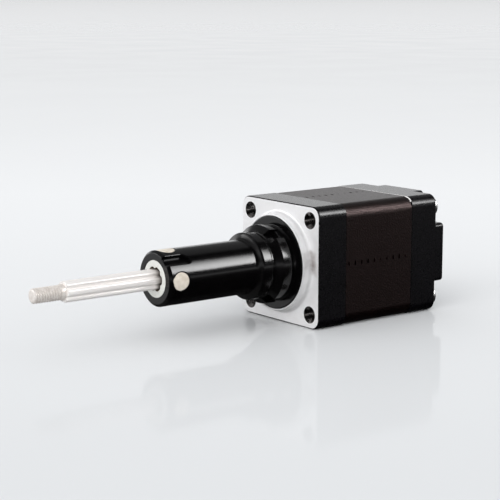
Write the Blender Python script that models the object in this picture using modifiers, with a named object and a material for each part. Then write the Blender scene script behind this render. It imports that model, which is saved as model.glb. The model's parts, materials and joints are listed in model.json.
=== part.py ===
"""Captive linear stepper motor on a 20 mm square frame, lying on one side.

The rotor's nut turns on two ball bearings and drives a lead screw.  The lead
screw is pinned to a splined output shaft that a splined bush keeps from
turning, so the shaft slides straight out of the guide sleeve.

The model stands on Z = 0 with the output shaft pointing along -Y.  Every piece
is drawn about the motor's own axis: x to the right, y up, and z forward out of
the mounting face, which is z = 0.  Lengths are in millimetres until a mesh is
made; the meshes themselves are in metres.
"""
import math

import bmesh
import bpy
from mathutils import Matrix

MM = 0.001
TURN = 2 * math.pi

# Driving dimensions, in mm.
FRAME = 20.0                # side of the square motor
HOLE_SPACING = 15.4         # square pattern of the case screws and mounting threads
BODY_LENGTH = 27.87         # mounting face to the rear block's face
TIP_Z = 46.5               # end of the threaded tip, in front of the mounting face
SLEEVE_FRONT_Z = 24.87      # front face of the guide sleeve
SHOULDER_Z = 41.25          # where the spline ends and the threaded tip starts
LEAD = 4.8768               # travel for one turn of the rotor
STARTS = 4                  # thread starts on the lead screw
POLES = 8                   # stator poles, one coil on each
ROTOR_TEETH = 50            # 1.8 degree steps
SPLINES = 6

# Stations along the axis, behind the mounting face.
FRONT_BELL_END = -5.75
REAR_BELL_START = -20.33
REAR_BELL_END = -26.02      # floor of the corner pockets
BLOCK_END = -BODY_LENGTH
FRONT_SEAT_Z = -1.5         # the front bearing's seat starts here
FRONT_FLOOR_Z = -3.9        # floor of the coil room in the front bell
FRONT_HUB_END = -4.9
REAR_HUB_START = -21.2
REAR_FLOOR_Z = -23.4
REAR_SEAT_END = -25.2
PLUG_SEAT_Z = -26.5
OUTLET_REAR, OUTLET_FRONT = -24.0, -21.4
SOCKET_FRONT_Z = 18.6       # end of the bore that takes the lead screw's nose

# Clearances between separate pieces.
JOINT_GAP = 0.03            # between stacked housing pieces
SEAT_GAP = 0.03             # a piece seated in its bore
RUN_GAP = 0.06              # sliding spline

# Housing.
BELL_CORNER = 1.74
STACK_CORNER = 2.2
FACE_CHAMFER = 0.2
BOSS_RADIUS = 8.0
BOSS_FOOT = 0.63            # fillet where the boss meets the mounting face
BOSS_HEIGHT = 1.5
BOSS_BORE = 7.7
BOSS_FLOOR = 0.55           # bottom of the recess in the boss
NECK_BORE = 4.06            # opening between the recess and the front bearing
COIL_ROOM = 8.2             # radius of the hollow round the coils
HUB_RADIUS = 5.75           # bearing hub inside each bell
THREAD_RADIUS = 1.0         # M2 holes
THREAD_RIM = 1.3            # countersink at the mounting face
SCREW_HOLE = 1.15
BLOCK_HALF = 5.0            # half the width of a lobe of the rear block
POCKET_CORNER = 0.4         # chamfer between a lobe's side and the bell's side
REAR_OPENING = 2.4
PLUG_RADIUS = 3.5
OUTLET_HALF = 3.0
LEAD_PITCH, LEAD_RADIUS = 1.3, 0.4
SCREW_SHANK, SCREW_HEAD = 0.93, 1.8
SCREW_HEAD_HEIGHT = 1.05
SOCKET_RADIUS, SOCKET_DEPTH = 0.8, 0.65

# Bearings, 6 x 10 x 3.
BEARING_BORE = 3.0
BEARING_RADIUS = 5.0
BEARING_WIDTH = 3.0
BALL_RADIUS = 0.58
BALL_PITCH = 4.0
BALLS = 8
FRONT_BEARING_Z = -3.05     # middle of the front bearing
REAR_BEARING_Z = -23.05

# Stator.
POLE_FACE = 5.12
POLE_NECK = 0.7             # half the width of a pole's neck
SHOE_BACK = 5.75
SHOE_HALF_ANGLE = math.radians(16)
INSULATOR = 0.34            # thickness on each end of the stack
COIL_INNER = 5.95
COIL_OUTER = 7.3
DIMPLES, DIMPLE_PITCH = 10, 1.394       # interlock marks of the laminations, along the axis
DIMPLE_SHIFT = (0.3, 0.7)   # rows of the upright and of the level sides, off the middle
DIMPLE_FORWARD = 0.41       # middle of a row, in front of the stack's
DIMPLE_SIZE = (0.3, 0.7, 0.42)
COIL_WIDTH = 3.1
COIL_END = 0.7              # thickness of a coil outside the stack

# Rotor.
ROTOR_RADIUS = 4.92
TOOTH_DEPTH = 0.28
SLEEVE_WALL_OUT = 3.35
SLEEVE_WALL_IN = 2.45
MAGNET = 1.0

# Output shaft, lead screw and sleeve.
SCREW_RADIUS = 1.75
SCREW_ROOT = 1.35
SPLINE_RADIUS = 1.646
SPLINE_ROOT = 1.22
TIP_RADIUS = 1.18
TIP_ROOT = 0.98
TIP_PITCH = 0.45
TIP_NECK = 1.2             # plain neck between the tip's thread and the shoulder
TIP_NECK_LENGTH = 0.5
JOURNAL = 1.15              # spline shaft's turned rear end, inside the stop collar
SCREW_JOURNAL = 0.7         # lead screw's nose, inside the spline shaft
PIN_RADIUS = 0.25
COLLAR_REAR_Z = 14.8
COLLAR_LENGTH = 2.0
BUSH_REAR_Z = 20.4
BUSH_RADIUS = 2.94
BUSH_GROOVE_GAP = 0.2       # between the shaft's grooves and the bush's teeth
PEG_RADIUS = 1.42
PEG_Z = 22.77
PEGS = 4
TUBE_RADIUS = 4.43
TUBE_BORE = 3.05
MOUTH_RADIUS = 4.03         # inner edge of the chamfer at the sleeve's mouth
MOUTH_CHAMFER = 0.37
GROOVE_FLOOR = 3.82
GROOVE_ANGLE = math.radians(48)
COLLAR_RING = 6.48          # the flange's collar that holds the sleeve
SPIGOT = 5.45               # the sleeve's foot, inside that collar
FLANGE_FRONT, FLANGE_REAR = 5.06, -1.15
FLANGE_BORE = 3.1
FLANGE_FLOOR = 1.85         # where the sleeve's foot rests
SLOT_ANGLES = (57.5, -62.5, 177.5)

FINE = 40                   # segments of a visible round piece
COARSE = 20                 # segments of a hidden one


# ---------------------------------------------------------------- scene

def clear_scene():
    for obj in list(bpy.data.objects):
        bpy.data.objects.remove(obj, do_unlink=True)


def new_collection(name):
    made = bpy.data.collections.new(name)
    bpy.context.scene.collection.children.link(made)
    return made


def material(name, colour, roughness, metallic):
    made = bpy.data.materials.new(name)
    made.use_nodes = True
    shader = made.node_tree.nodes["Principled BSDF"]
    shader.inputs["Base Color"].default_value = (*colour, 1.0)
    shader.inputs["Roughness"].default_value = roughness
    shader.inputs["Metallic"].default_value = metallic
    made.diffuse_color = (*colour, 1.0)
    return made


clear_scene()
PARTS = new_collection("stepper_motor_with_lead_screw")
CUTTERS = new_collection("cutters")


def axis_frame(name):
    """An empty on the motor's axis at the mounting face, its z pointing forward."""
    empty = bpy.data.objects.new(name, None)
    PARTS.objects.link(empty)
    middle_y = (BODY_LENGTH - TIP_Z) / 2
    empty.location = (0, -middle_y * MM, FRAME / 2 * MM)
    empty.rotation_euler = (math.pi / 2, 0, 0)
    return empty


MOTOR = axis_frame("motor_frame")
ROTOR = axis_frame("rotor_axis")
SHAFT = axis_frame("shaft_slide")


def add_object(name, mesh, parent=None, look=None):
    """A part when it has a parent, otherwise a hidden tool for a Boolean."""
    obj = bpy.data.objects.new(name, mesh)
    if parent:
        PARTS.objects.link(obj)
        obj.parent = parent
        mesh.materials.append(look)
        mesh.shade_smooth()
        mesh.set_sharp_from_angle(angle=math.radians(35))
    else:
        CUTTERS.objects.link(obj)
        obj.parent = MOTOR
        obj.hide_render = True
        obj.display_type = "WIRE"
    return obj


def boolean(obj, tool, operation):
    step = obj.modifiers.new(operation.lower(), "BOOLEAN")
    step.operation = operation
    step.object = tool
    return obj


def cut(obj, tool):
    return boolean(obj, tool, "DIFFERENCE")


def join(obj, tool):
    return boolean(obj, tool, "UNION")


# ---------------------------------------------------------------- shapes

def turned(name, outline, segments, parent=None, look=None):
    """A profile of (radius, z) points turned about z, listed down its outer side.

    A profile that starts and ends on the axis is a solid; any other one is a
    closed loop and makes a ring.
    """
    shape = bmesh.new()
    corners = [shape.verts.new((r * MM, 0, z * MM)) for r, z in outline]
    for start, end in zip(corners, corners[1:]):
        shape.edges.new((start, end))
    if outline[0][0] > 0:
        shape.edges.new((corners[-1], corners[0]))
    mesh = bpy.data.meshes.new(name)
    shape.to_mesh(mesh)
    shape.free()
    obj = add_object(name, mesh, parent, look)
    turn = obj.modifiers.new("turn", "SCREW")
    turn.angle = TURN
    turn.steps = turn.render_steps = segments
    turn.use_merge_vertices = True
    turn.merge_threshold = 1e-6
    turn.use_smooth_shade = True
    return obj


def plate(name, outlines, low, high, parent=None, look=None):
    """Flat outlines, the later ones as holes, extruded along z from low to high."""
    curve = bpy.data.curves.new(name, "CURVE")
    curve.dimensions = "2D"
    curve.fill_mode = "BOTH"
    curve.extrude = (high - low) / 2
    for outline in outlines:
        spline = curve.splines.new("POLY")
        spline.points.add(len(outline) - 1)
        for point, (x, y) in zip(spline.points, outline):
            point.co = (x, y, 0, 1)
        spline.use_cyclic_u = True
    flat = bpy.data.objects.new(name, curve)
    CUTTERS.objects.link(flat)
    graph = bpy.context.evaluated_depsgraph_get()
    mesh = bpy.data.meshes.new_from_object(flat.evaluated_get(graph))
    bpy.data.objects.remove(flat, do_unlink=True)
    bpy.data.curves.remove(curve)
    mesh.name = name
    shape = bmesh.new()
    shape.from_mesh(mesh)
    bmesh.ops.remove_doubles(shape, verts=shape.verts, dist=1e-4)
    if len(outlines) == 1:
        bmesh.ops.dissolve_limit(shape, angle_limit=0.01, verts=shape.verts, edges=shape.edges)
    bmesh.ops.translate(shape, verts=shape.verts, vec=(0, 0, (low + high) / 2))
    bmesh.ops.scale(shape, verts=shape.verts, vec=(MM, MM, MM))
    bmesh.ops.recalc_face_normals(shape, faces=shape.faces)
    shape.to_mesh(mesh)
    shape.free()
    return add_object(name, mesh, parent, look)


def chamfer_rim(obj, z, width, segments=1):
    """Bevels the outer rim of a plate at the height z."""
    mesh = obj.data
    weights = mesh.attributes.new("bevel_weight_edge", "FLOAT", "EDGE")
    users = {}
    for face in mesh.polygons:
        for pair in face.edge_keys:
            users.setdefault(pair, []).append(face.normal.z)
    for edge in mesh.edges:
        ends = [mesh.vertices[i].co.z for i in edge.vertices]
        on_rim = all(abs(end - z * MM) < 1e-7 for end in ends)
        facing = users[tuple(sorted(edge.vertices))]
        if on_rim and min(map(abs, facing)) < 0.5:
            weights.data[edge.index].value = 1.0
    bevel = obj.modifiers.new("chamfer", "BEVEL")
    bevel.limit_method = "WEIGHT"
    bevel.width = width * MM
    bevel.segments = segments
    bevel.use_clamp_overlap = False
    return obj


def box(name, low, high, parent=None, look=None):
    shape = bmesh.new()
    bmesh.ops.create_cube(shape, size=1.0)
    size = [(h - l) * MM for l, h in zip(low, high)]
    middle = [(h + l) / 2 * MM for l, h in zip(low, high)]
    bmesh.ops.scale(shape, verts=shape.verts, vec=size)
    bmesh.ops.translate(shape, verts=shape.verts, vec=middle)
    mesh = bpy.data.meshes.new(name)
    shape.to_mesh(mesh)
    shape.free()
    return add_object(name, mesh, parent, look)


def rod(name, radius, length, matrix, segments, parent=None, look=None):
    """A cylinder along its own z, centred, then placed by a matrix in mm."""
    shape = bmesh.new()
    bmesh.ops.create_cone(shape, cap_ends=True, segments=segments,
                          radius1=radius, radius2=radius, depth=length)
    bmesh.ops.transform(shape, verts=shape.verts, matrix=Matrix.Scale(MM, 4) @ matrix)
    mesh = bpy.data.meshes.new(name)
    shape.to_mesh(mesh)
    shape.free()
    return add_object(name, mesh, parent, look)


# ---------------------------------------------------------------- outlines

def polar(radius, angle):
    return radius * math.cos(angle), radius * math.sin(angle)


def circle(radius, segments, centre=(0, 0)):
    points = [polar(radius, TURN * i / segments) for i in range(segments)]
    return [(x + centre[0], y + centre[1]) for x, y in points]


def arc(centre, radius, start, end, steps):
    """Points along an arc, angles in degrees, both ends included."""
    angles = [math.radians(start + (end - start) * i / steps) for i in range(steps + 1)]
    return [(centre[0] + radius * math.cos(a), centre[1] + radius * math.sin(a)) for a in angles]


def rounded_rectangle(width, height, radius, steps):
    centres = [(sx * (width / 2 - radius), sy * (height / 2 - radius))
               for sx, sy in ((1, 1), (-1, 1), (-1, -1), (1, -1))]
    points = []
    for quarter, centre in enumerate(centres):
        points += arc(centre, radius, 90 * quarter, 90 * quarter + 90, steps)
    return points


def pole_outline(slot_radius, neck, shoe_back, face):
    """The inner edge of a ring with poles that point at the axis."""
    points = []
    for pole in range(POLES):
        middle = TURN * pole / POLES
        step = TURN / POLES
        reach = math.asin(neck / slot_radius)
        foot = math.asin(neck / shoe_back)
        slot = [middle - step + reach + (step - 2 * reach) * i / 6 for i in range(7)]
        points += [polar(slot_radius, a) for a in slot]
        points.append(polar(shoe_back, middle - foot))
        points += [polar(face, middle + SHOE_HALF_ANGLE * i / 2) for i in range(-2, 3)]
        points.append(polar(shoe_back, middle + foot))
    return points


def toothed_outline(radius, depth, teeth, phase):
    """Square rotor teeth; a tooth is a little narrower than its gap."""
    points = []
    for tooth in range(teeth):
        middle = TURN * (tooth + phase) / teeth
        half = TURN / teeth * 0.21
        slope = TURN / teeth * 0.04
        points.append(polar(radius - depth, middle - half - slope))
        points.append(polar(radius, middle - half))
        points.append(polar(radius, middle + half))
        points.append(polar(radius - depth, middle + half + slope))
    return points


def spline_outline(crest, root, steps=8):
    """Round-bottomed grooves between rounded splines; a spline points along +x."""
    points = []
    count = SPLINES * steps
    for i in range(count):
        angle = TURN * i / count
        wave = 0.5 - 0.5 * math.cos(SPLINES * angle)
        points.append(polar(crest - (crest - root) * wave ** 3, angle))
    return points


def corner_places():
    half = HOLE_SPACING / 2
    return [(half, half), (-half, half), (-half, -half), (half, -half)]


# ---------------------------------------------------------------- housing

def add_front_end_bell(look):
    bell = plate("front_end_bell", [rounded_rectangle(FRAME, FRAME, BELL_CORNER, 6)],
                 FRONT_BELL_END, 0, MOTOR, look)
    chamfer_rim(bell, 0, FACE_CHAMFER)
    foot = arc((BOSS_RADIUS + BOSS_FOOT, BOSS_FOOT), BOSS_FOOT, 180, 270, 4)
    boss = [(0, BOSS_HEIGHT), (BOSS_RADIUS - 0.1, BOSS_HEIGHT), (BOSS_RADIUS, BOSS_HEIGHT - 0.1)]
    boss += foot[:-1] + [(BOSS_RADIUS + BOSS_FOOT, 0), (BOSS_RADIUS + BOSS_FOOT, -1), (0, -1)]
    join(bell, turned("boss_tool", boss, FINE))
    seat = BEARING_RADIUS + SEAT_GAP
    hollow = [(0, 3), (BOSS_BORE, 3), (BOSS_BORE, BOSS_FLOOR), (NECK_BORE, BOSS_FLOOR),
              (NECK_BORE, FRONT_SEAT_Z), (seat, FRONT_SEAT_Z), (seat, FRONT_HUB_END),
              (HUB_RADIUS, FRONT_HUB_END), (HUB_RADIUS, FRONT_FLOOR_Z),
              (COIL_ROOM, FRONT_FLOOR_Z), (COIL_ROOM, -7), (0, -7)]
    cut(bell, turned("front_hollow_tool", hollow, FINE))
    rim_depth = THREAD_RIM - THREAD_RADIUS
    hole = [(0, 1), (THREAD_RIM, 1), (THREAD_RIM, 0), (THREAD_RADIUS, -rim_depth),
            (THREAD_RADIUS, -7), (0, -7)]
    for index, (x, y) in enumerate(corner_places()):
        tool = turned(f"thread_tool_{index + 1}", hole, 16)
        tool.location = (x * MM, y * MM, 0)
        cut(bell, tool)


def add_stator_stack(look):
    outer = rounded_rectangle(FRAME, FRAME, STACK_CORNER, 6)
    bore = pole_outline(COIL_ROOM, POLE_NECK, SHOE_BACK, POLE_FACE)
    holes = [circle(SCREW_HOLE, 20, place) for place in corner_places()]
    stack = plate("stator_stack", [outer, bore, *holes], REAR_BELL_START + JOINT_GAP,
                  FRONT_BELL_END - JOINT_GAP, MOTOR, look)
    middle = (FRONT_BELL_END + REAR_BELL_START) / 2
    face = FRAME / 2
    for side in range(4):
        shift = DIMPLE_SHIFT[side % 2]
        tools = bmesh.new()
        for index in range(DIMPLES):
            z = middle + DIMPLE_FORWARD + (index - (DIMPLES - 1) / 2) * DIMPLE_PITCH
            made = bmesh.ops.create_cube(tools, size=1.0)["verts"]
            bmesh.ops.scale(tools, verts=made, vec=DIMPLE_SIZE)
            bmesh.ops.translate(tools, verts=made, vec=(face, shift, z))
        turn = Matrix.Scale(MM, 4) @ Matrix.Rotation(side * TURN / 4, 4, "Z")
        bmesh.ops.transform(tools, verts=tools.verts, matrix=turn)
        mesh = bpy.data.meshes.new(f"dimple_tool_{side + 1}")
        tools.to_mesh(mesh)
        tools.free()
        cut(stack, add_object(mesh.name, mesh))


def add_rear_end_bell(look):
    bell = plate("rear_end_bell", [rounded_rectangle(FRAME, FRAME, BELL_CORNER, 6)],
                 BLOCK_END, REAR_BELL_START, MOTOR, look)
    inside, outside, corner = BLOCK_HALF, FRAME / 2, POCKET_CORNER
    pocket = [(inside, inside), (outside - corner, inside), (outside + corner, inside - 2 * corner),
              (outside + 2, inside - 2 * corner), (outside + 2, outside + 2),
              (inside - 2 * corner, outside + 2), (inside - 2 * corner, outside + corner),
              (inside, outside - corner)]
    for quarter in range(4):
        tool = plate(f"pocket_tool_{quarter + 1}", [pocket], BLOCK_END - 1, REAR_BELL_END)
        tool.rotation_euler = (0, 0, TURN * quarter / 4)
        cut(bell, tool)
    seat = BEARING_RADIUS + SEAT_GAP
    hollow = [(0, -19), (COIL_ROOM, -19), (COIL_ROOM, REAR_FLOOR_Z), (HUB_RADIUS, REAR_FLOOR_Z),
              (HUB_RADIUS, REAR_HUB_START), (seat, REAR_HUB_START), (seat, REAR_SEAT_END),
              (REAR_OPENING, REAR_SEAT_END), (REAR_OPENING, PLUG_SEAT_Z),
              (PLUG_RADIUS, PLUG_SEAT_Z), (PLUG_RADIUS, -29), (0, -29)]
    cut(bell, turned("rear_hollow_tool", hollow, FINE))
    for index, (x, y) in enumerate(corner_places()):
        place = Matrix.Translation((x, y, -23))
        cut(bell, rod(f"screw_hole_tool_{index + 1}", SCREW_HOLE, 8, place, 20))
    cut(bell, box("outlet_tool", (-11, -OUTLET_HALF, OUTLET_REAR), (-7.5, OUTLET_HALF, OUTLET_FRONT)))


def add_case_screws(look):
    """Pan heads with a hexagon socket, in the corner pockets of the rear bell."""
    head_top = REAR_BELL_END - JOINT_GAP
    head_end = head_top - SCREW_HEAD_HEIGHT
    point = -3.0
    outline = [(0, point), (0.7, point), (SCREW_SHANK, point - 0.3), (SCREW_SHANK, head_top),
               (SCREW_HEAD, head_top), (SCREW_HEAD, head_end + 0.3), (SCREW_HEAD - 0.3, head_end),
               (0, head_end)]
    for index, (x, y) in enumerate(corner_places()):
        screw = turned(f"case_screw_{index + 1}", outline, 16, MOTOR, look)
        screw.location = (x * MM, y * MM, 0)
        socket = Matrix.Translation((x, y, head_end))
        cut(screw, rod(f"socket_tool_{index + 1}", SOCKET_RADIUS, 2 * SOCKET_DEPTH, socket, 6))


def add_coils(wire, plastic, board):
    """Insulating end frames and a coil round each pole."""
    front = FRONT_BELL_END - JOINT_GAP
    rear = REAR_BELL_START + JOINT_GAP
    frame = [circle(8.15, COARSE), pole_outline(7.52, POLE_NECK + 0.02, SHOE_BACK, POLE_FACE + 0.05)]
    low = front + SEAT_GAP
    plate("front_insulator", frame, low, low + INSULATOR, MOTOR, plastic)
    high = rear - SEAT_GAP
    plate("rear_insulator", frame, high - INSULATOR, high, MOTOR, plastic)
    inside = (front - rear) + 2 * (INSULATOR + 2 * SEAT_GAP)
    opening = rounded_rectangle(2 * (POLE_NECK + 0.08), inside, 0.15, 1)
    outside = rounded_rectangle(COIL_WIDTH, inside + 2 * COIL_END, 0.6, 3)
    for index in range(POLES):
        coil = plate(f"coil_{index + 1}", [outside, opening], COIL_INNER, COIL_OUTER, MOTOR, wire)
        # The outline's second axis lies along the motor's, its own z points outwards.
        lay = Matrix.Rotation(TURN / 4, 4, "Y") @ Matrix.Rotation(TURN / 4, 4, "Z")
        turn = Matrix.Rotation(TURN * index / POLES, 4, "Z")
        coil.matrix_local = Matrix.Translation((0, 0, (front + rear) / 2 * MM)) @ turn @ lay
    turned("terminal_board", [(7.95, -22.3), (7.95, -22.9), (5.95, -22.9), (5.95, -22.3)],
           COARSE, MOTOR, board)


def add_outlet_and_plug(rubber, plastic):
    """Where the motor's leads come out, and the cover of the rear opening."""
    grommet = box("lead_grommet", (-FRAME / 2 + 0.03, -OUTLET_HALF + 0.05, OUTLET_REAR + 0.05),
                  (-8.3, OUTLET_HALF - 0.05, OUTLET_FRONT - 0.05), MOTOR, rubber)
    middle = (OUTLET_REAR + OUTLET_FRONT) / 2
    for index in range(4):
        place = Matrix.Translation((-9, (index - 1.5) * LEAD_PITCH, middle))
        lead = rod(f"lead_tool_{index + 1}", LEAD_RADIUS, 5, place @ Matrix.Rotation(TURN / 4, 4, "Y"), 12)
        cut(grommet, lead)
    radius = PLUG_RADIUS - SEAT_GAP
    near, far = PLUG_SEAT_Z - 0.05, BLOCK_END + 0.06
    turned("rear_plug", [(0, near), (radius, near), (radius, far + 0.12), (radius - 0.12, far),
                         (0, far)], COARSE, MOTOR, plastic)


# ---------------------------------------------------------------- bearings

def add_bearing(name, z, look, cage_frame):
    """Rings with a round groove, and the balls held in their cage."""
    half = BEARING_WIDTH / 2
    groove = BALL_RADIUS + 0.08
    spread = math.degrees(math.asin(0.5 / groove))
    outer_groove = arc((BALL_PITCH, z), groove, -spread, spread, 4)
    inner_groove = arc((BALL_PITCH, z), groove, 180 - spread, 180 + spread, 4)
    lip = outer_groove[0][0]
    turned(f"{name}_outer_ring", [(BEARING_RADIUS, z + half), (BEARING_RADIUS, z - half),
                                  (lip, z - half), *outer_groove, (lip, z + half)],
           COARSE, MOTOR, look)
    lip = inner_groove[0][0]
    bore = BEARING_BORE + SEAT_GAP
    turned(f"{name}_inner_ring", [(lip, z + half), *inner_groove, (lip, z - half),
                                  (bore, z - half), (bore, z + half)], COARSE, ROTOR, look)
    cage = turned(f"{name}_balls", [(BALL_PITCH + 0.17, z + 0.3), (BALL_PITCH + 0.17, z - 0.3),
                                    (BALL_PITCH - 0.17, z - 0.3), (BALL_PITCH - 0.17, z + 0.3)],
                  24, cage_frame, look)
    for index in range(BALLS):
        x, y = polar(BALL_PITCH, TURN * index / BALLS)
        ball = bmesh.new()
        bmesh.ops.create_uvsphere(ball, u_segments=8, v_segments=5, radius=BALL_RADIUS * MM)
        bmesh.ops.translate(ball, verts=ball.verts, vec=(x * MM, y * MM, z * MM))
        mesh = bpy.data.meshes.new(f"{name}_ball_tool_{index + 1}")
        ball.to_mesh(mesh)
        ball.free()
        join(cage, add_object(mesh.name, mesh))


def add_wave_spring(look):
    """Presses the rear bearing forward against the rotor."""
    thick, wave = 0.12, 0.12
    middle = -24.88
    outer, inner = 4.85, 3.9
    spring = bmesh.new()
    bmesh.ops.create_circle(spring, cap_ends=False, segments=24, radius=outer)
    rim = list(spring.edges)
    grown = bmesh.ops.extrude_edge_only(spring, edges=rim)["geom"]
    fresh = [item for item in grown if isinstance(item, bmesh.types.BMVert)]
    bmesh.ops.scale(spring, verts=fresh, vec=(inner / outer, inner / outer, 1))
    for corner in spring.verts:
        angle = math.atan2(corner.co.y, corner.co.x)
        corner.co.z = middle + wave * math.cos(3 * angle)
    bmesh.ops.recalc_face_normals(spring, faces=spring.faces)
    bmesh.ops.scale(spring, verts=spring.verts, vec=(MM, MM, MM))
    mesh = bpy.data.meshes.new("wave_spring")
    spring.to_mesh(mesh)
    spring.free()
    obj = add_object("wave_spring", mesh, MOTOR, look)
    shell = obj.modifiers.new("thickness", "SOLIDIFY")
    shell.thickness = thick * MM
    shell.offset = 0


# ---------------------------------------------------------------- rotor

def add_rotor(steel, iron, magnet, acetal):
    bearing_front = FRONT_BEARING_Z + BEARING_WIDTH / 2
    bearing_rear = REAR_BEARING_Z - BEARING_WIDTH / 2
    shoulder_front = FRONT_BEARING_Z - BEARING_WIDTH / 2 - SEAT_GAP
    shoulder_rear = REAR_BEARING_Z + BEARING_WIDTH / 2 + SEAT_GAP
    turned("rotor_sleeve", [(BEARING_BORE, bearing_front + 0.1), (BEARING_BORE, shoulder_front),
                            (SLEEVE_WALL_OUT, shoulder_front), (SLEEVE_WALL_OUT, shoulder_rear),
                            (BEARING_BORE, shoulder_rear), (BEARING_BORE, bearing_rear - 0.2),
                            (SLEEVE_WALL_IN, bearing_rear - 0.2),
                            (SLEEVE_WALL_IN, bearing_front + 0.1)], COARSE, ROTOR, steel)
    nut = SLEEVE_WALL_IN - SEAT_GAP
    turned("rotor_nut", [(nut, -1.7), (nut, -13.2), (SCREW_RADIUS + 0.08, -13.2),
                         (SCREW_RADIUS + 0.08, -1.7)], COARSE, ROTOR, acetal)
    middle = (FRONT_BELL_END + REAR_BELL_START) / 2
    cup = 6.4
    bore = circle(SLEEVE_WALL_OUT + SEAT_GAP, COARSE)
    near = middle + MAGNET / 2 + JOINT_GAP
    teeth = toothed_outline(ROTOR_RADIUS, TOOTH_DEPTH, ROTOR_TEETH, 0)
    plate("rotor_cup_front", [teeth, bore], near, near + cup, ROTOR, iron)
    far = middle - MAGNET / 2 - JOINT_GAP
    teeth = toothed_outline(ROTOR_RADIUS, TOOTH_DEPTH, ROTOR_TEETH, 0.5)
    plate("rotor_cup_rear", [teeth, bore], far - cup, far, ROTOR, iron)
    rim = ROTOR_RADIUS - TOOTH_DEPTH - 0.1
    hole = SLEEVE_WALL_OUT + SEAT_GAP
    turned("rotor_magnet", [(rim, middle + MAGNET / 2), (rim, middle - MAGNET / 2),
                            (hole, middle - MAGNET / 2), (hole, middle + MAGNET / 2)],
           COARSE, ROTOR, magnet)


# ---------------------------------------------------------------- shaft

def add_lead_screw(look):
    """A multi-start thread: one lobed section, extruded in turning steps."""
    points, twist = 6 * STARTS, math.radians(45)
    top, bottom = COLLAR_REAR_Z - 0.1, -10.0
    steps = round((top - bottom) / (LEAD * twist / TURN))
    rise = (top - bottom) / steps
    twist = -TURN * rise / LEAD
    lobes = (0.0, 0.15, 0.85, 1.0, 0.85, 0.15)          # one start: root, flank, crest, flank
    screw = bmesh.new()
    bmesh.ops.create_circle(screw, cap_ends=True, segments=points, radius=1.0)
    for index, corner in enumerate(screw.verts):
        radius = SCREW_ROOT + (SCREW_RADIUS - SCREW_ROOT) * lobes[index % len(lobes)]
        corner.co *= radius
    bmesh.ops.translate(screw, verts=screw.verts, vec=(0, 0, bottom))
    cap = list(screw.faces)
    for step in range(steps):
        grown = bmesh.ops.extrude_face_region(screw, geom=cap)
        if step > 0:
            bmesh.ops.delete(screw, geom=cap, context="FACES_ONLY")
        fresh = [item for item in grown["geom"] if isinstance(item, bmesh.types.BMVert)]
        cap = [item for item in grown["geom"] if isinstance(item, bmesh.types.BMFace)]
        bmesh.ops.translate(screw, verts=fresh, vec=(0, 0, rise))
        bmesh.ops.rotate(screw, verts=fresh, cent=(0, 0, 0), matrix=Matrix.Rotation(twist, 3, "Z"))
    bmesh.ops.recalc_face_normals(screw, faces=screw.faces)
    bmesh.ops.scale(screw, verts=screw.verts, vec=(MM, MM, MM))
    mesh = bpy.data.meshes.new("lead_screw")
    screw.to_mesh(mesh)
    screw.free()
    obj = add_object("lead_screw", mesh, SHAFT, look)
    end = SOCKET_FRONT_Z - 0.1
    nose = turned("nose_tool", [(0, end), (SCREW_JOURNAL, end), (SCREW_JOURNAL, top - 1), (0, top - 1)], 20)
    join(obj, nose)
    cut(obj, pin_hole("nose_pin_tool"))


def pin_place():
    """The coupling pin lies across the shaft, through the middle of the collar."""
    lift = Matrix.Translation((0, 0, COLLAR_REAR_Z + COLLAR_LENGTH / 2))
    return lift @ Matrix.Rotation(TURN / 4, 4, "Y")


def pin_hole(name):
    return rod(name, PIN_RADIUS + SEAT_GAP, 8, pin_place(), 12)


def add_spline_shaft(look):
    collar_front = COLLAR_REAR_Z + COLLAR_LENGTH + SEAT_GAP
    shaft = plate("spline_shaft", [spline_outline(SPLINE_RADIUS, SPLINE_ROOT)],
                  collar_front, SHOULDER_Z, SHAFT, look)
    chamfer_rim(shaft, SHOULDER_Z, 0.15)
    tip = [(0, TIP_Z), (TIP_RADIUS - 0.35, TIP_Z), (TIP_ROOT, TIP_Z - 0.25)]
    z = TIP_Z - 0.45
    neck_front = SHOULDER_Z + TIP_NECK_LENGTH
    while z > neck_front + TIP_PITCH / 2:
        tip += [(TIP_RADIUS, z), (TIP_ROOT, z - TIP_PITCH / 2)]
        z -= TIP_PITCH
    tip += [(TIP_NECK, neck_front), (TIP_NECK, SHOULDER_Z - 1), (0, SHOULDER_Z - 1)]
    join(shaft, turned("tip_tool", tip, 16))
    rear = [(0, collar_front + 1), (JOURNAL, collar_front + 1), (JOURNAL, COLLAR_REAR_Z),
            (0, COLLAR_REAR_Z)]
    join(shaft, turned("journal_tool", rear, 24))
    bore = SCREW_JOURNAL + SEAT_GAP
    socket = [(0, SOCKET_FRONT_Z), (bore, SOCKET_FRONT_Z), (bore, COLLAR_REAR_Z - 1),
              (0, COLLAR_REAR_Z - 1)]
    cut(shaft, turned("socket_tool", socket, 20))
    cut(shaft, pin_hole("shaft_pin_tool"))


def add_stop_collar(brass, steel):
    """Stops the shaft against the bush, and is pinned with it to the lead screw."""
    low, high = COLLAR_REAR_Z, COLLAR_REAR_Z + COLLAR_LENGTH
    bore = JOURNAL + SEAT_GAP
    collar = turned("stop_collar", [(2.7, high), (2.9, high - 0.2), (2.9, low + 0.2), (2.7, low),
                                    (bore, low), (bore, high)], COARSE, SHAFT, brass)
    cut(collar, pin_hole("collar_pin_tool"))
    rod("coupling_pin", PIN_RADIUS, 5.4, pin_place(), 12, SHAFT, steel)


# ---------------------------------------------------------------- guide

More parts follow.
